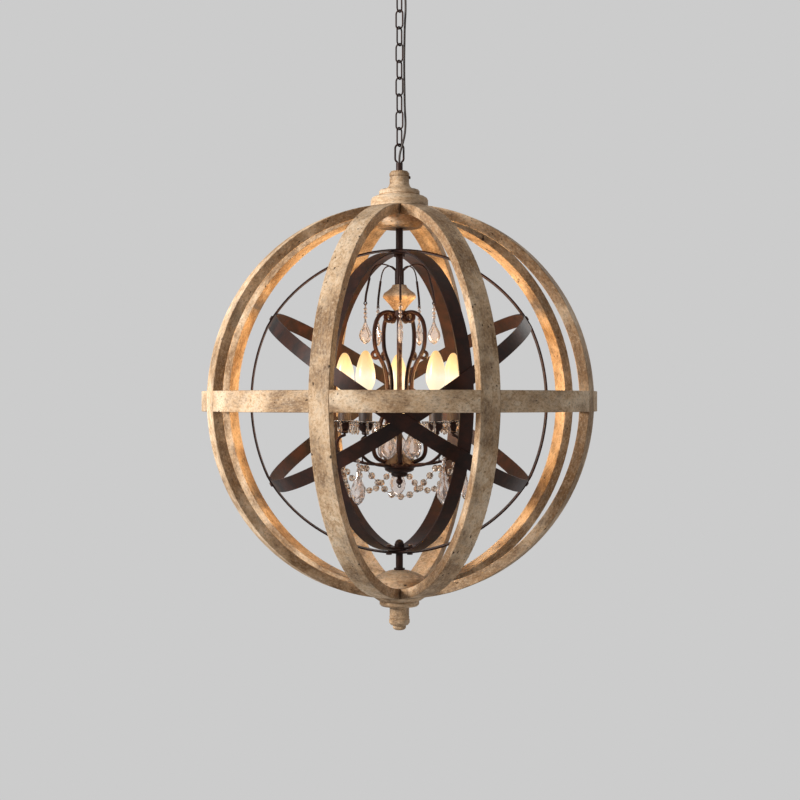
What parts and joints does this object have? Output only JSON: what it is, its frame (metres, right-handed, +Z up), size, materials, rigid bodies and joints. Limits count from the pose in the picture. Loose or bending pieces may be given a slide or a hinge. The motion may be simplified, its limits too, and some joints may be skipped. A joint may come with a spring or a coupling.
{
  "type": "orb chandelier",
  "caption": "Orb chandelier: slatted wooden orb around iron hoops and a crystal-hung candelabra, hanging by a chain and cord from a ceiling canopy.",
  "frame": {"origin": "midway between the crossbar's two screw holes, on the ceiling face", "axes": "+Z up to the ceiling, the crossbar along X, the front of the orb towards -Y"},
  "size_m": [0.711, 0.711, 1.2277],
  "materials": {
    "whitewashed_wood": "whitewashed, lightly distressed",
    "turned_wood": "satin",
    "dark_iron": "satin, rubbed edges",
    "plated_steel": "zinc plated",
    "crystal": "clear, faceted",
    "bulb_glass": "warm white, lit",
    "sleeve": "matte",
    "lampholder": "matte",
    "cord": "satin"
  },
  "bodies": {
    "ceiling_fitting": {"crossbar": "plated_steel", "nipple_nuts": "plated_steel", "canopy_nipple": "plated_steel", "canopy": "dark_iron", "canopy_loop": "dark_iron"},
    "chain": {"chain_links": "dark_iron", "supply_cord": "cord"},
    "orb": {"rib_1": "whitewashed_wood", "rib_2": "whitewashed_wood", "rib_3": "whitewashed_wood", "rib_4": "whitewashed_wood", "rib_5": "whitewashed_wood", "rib_6": "whitewashed_wood", "rib_7": "whitewashed_wood", "rib_8": "whitewashed_wood", "equator_ring": "whitewashed_wood", "top_finial": "whitewashed_wood", "top_hub_block": "whitewashed_wood", "bottom_hub_block": "whitewashed_wood", "bottom_finial": "whitewashed_wood", "cross_hoop": "dark_iron", "inner_hoop_1": "dark_iron", "inner_hoop_2": "dark_iron", "tilted_hoop_1": "dark_iron", "tilted_hoop_2": "dark_iron", "hoop_screws": "dark_iron", "pole_plate": "dark_iron", "dome_nut": "dark_iron", "rod_nut": "dark_iron", "main_rod": "dark_iron", "lower_rod": "dark_iron", "fixture_loop": "dark_iron", "arching_arms": "dark_iron", "scroll_cage": "dark_iron", "hub_bowl": "dark_iron", "hub_finial": "dark_iron", "candle_arms": "dark_iron", "candle_cups": "dark_iron", "wooden_bead": "turned_wood", "bobeches": "crystal", "rim_drops": "crystal", "bead_swags": "crystal", "inner_drops": "crystal", "candle_sleeves": "sleeve", "lampholders": "lampholder"},
    "upper_drop_1": {"upper_drop_1": "crystal"},
    "upper_drop_2": {"upper_drop_2": "crystal"},
    "upper_drop_3": {"upper_drop_3": "crystal"},
    "upper_drop_4": {"upper_drop_4": "crystal"},
    "upper_drop_5": {"upper_drop_5": "crystal"},
    "lower_drop_1": {"lower_drop_1": "crystal"},
    "lower_drop_2": {"lower_drop_2": "crystal"},
    "lower_drop_3": {"lower_drop_3": "crystal"},
    "lower_drop_4": {"lower_drop_4": "crystal"},
    "lower_drop_5": {"lower_drop_5": "crystal"},
    "bulb_1": {"bulb_1": "bulb_glass"},
    "bulb_2": {"bulb_2": "bulb_glass"},
    "bulb_3": {"bulb_3": "bulb_glass"},
    "bulb_4": {"bulb_4": "bulb_glass"},
    "bulb_5": {"bulb_5": "bulb_glass"}
  },
  "joints": [
    {"name": "chain_swing", "type": "hinge", "parent": "ceiling_fitting", "child": "chain", "pos_m": [0, 0, -0.069], "axis": [0, 1, 0], "range_deg": [-20, 20], "deforming": ["supply_cord"]},
    {"name": "orb_swing", "type": "hinge", "parent": "chain", "child": "orb", "pos_m": [0, 0, -0.3458], "axis": [1, 0, 0], "range_deg": [-20, 20]},
    {"name": "upper_drop_1_swing", "type": "hinge", "parent": "orb", "child": "upper_drop_1", "pos_m": [0, -0.065, -0.6387], "axis": [0, -1, 0], "range_deg": [-15, 15]},
    {"name": "upper_drop_2_swing", "type": "hinge", "parent": "orb", "child": "upper_drop_2", "pos_m": [0.06182, -0.02009, -0.6387], "axis": [0.9511, -0.309, 0], "range_deg": [-15, 15]},
    {"name": "upper_drop_3_swing", "type": "hinge", "parent": "orb", "child": "upper_drop_3", "pos_m": [0.03821, 0.05259, -0.6387], "axis": [0.5878, 0.809, 0], "range_deg": [-15, 15]},
    {"name": "upper_drop_4_swing", "type": "hinge", "parent": "orb", "child": "upper_drop_4", "pos_m": [-0.03821, 0.05259, -0.6387], "axis": [-0.5878, 0.809, 0], "range_deg": [-15, 15]},
    {"name": "upper_drop_5_swing", "type": "hinge", "parent": "orb", "child": "upper_drop_5", "pos_m": [-0.06182, -0.02009, -0.6387], "axis": [-0.9511, -0.309, 0], "range_deg": [-15, 15]},
    {"name": "lower_drop_1_swing", "type": "hinge", "parent": "orb", "child": "lower_drop_1", "pos_m": [0.07465, -0.10275, -0.9087], "axis": [0.5878, -0.809, 0], "range_deg": [-12, 12]},
    {"name": "lower_drop_2_swing", "type": "hinge", "parent": "orb", "child": "lower_drop_2", "pos_m": [0.12078, 0.03925, -0.9087], "axis": [0.9511, 0.309, 0], "range_deg": [-12, 12]},
    {"name": "lower_drop_3_swing", "type": "hinge", "parent": "orb", "child": "lower_drop_3", "pos_m": [0, 0.127, -0.9087], "axis": [0, 1, 0], "range_deg": [-12, 12]},
    {"name": "lower_drop_4_swing", "type": "hinge", "parent": "orb", "child": "lower_drop_4", "pos_m": [-0.12078, 0.03925, -0.9087], "axis": [-0.9511, 0.309, 0], "range_deg": [-12, 12]},
    {"name": "lower_drop_5_swing", "type": "hinge", "parent": "orb", "child": "lower_drop_5", "pos_m": [-0.07465, -0.10275, -0.9087], "axis": [-0.5878, -0.809, 0], "range_deg": [-12, 12]},
    {"name": "bulb_1_out", "type": "slide", "parent": "orb", "child": "bulb_1", "axis": [0, 0, 1], "range_m": [0, 0.022]},
    {"name": "bulb_2_out", "type": "slide", "parent": "orb", "child": "bulb_2", "axis": [0, 0, 1], "range_m": [0, 0.022]},
    {"name": "bulb_3_out", "type": "slide", "parent": "orb", "child": "bulb_3", "axis": [0, 0, 1], "range_m": [0, 0.022]},
    {"name": "bulb_4_out", "type": "slide", "parent": "orb", "child": "bulb_4", "axis": [0, 0, 1], "range_m": [0, 0.022]},
    {"name": "bulb_5_out", "type": "slide", "parent": "orb", "child": "bulb_5", "axis": [0, 0, 1], "range_m": [0, 0.022]}
  ]
}
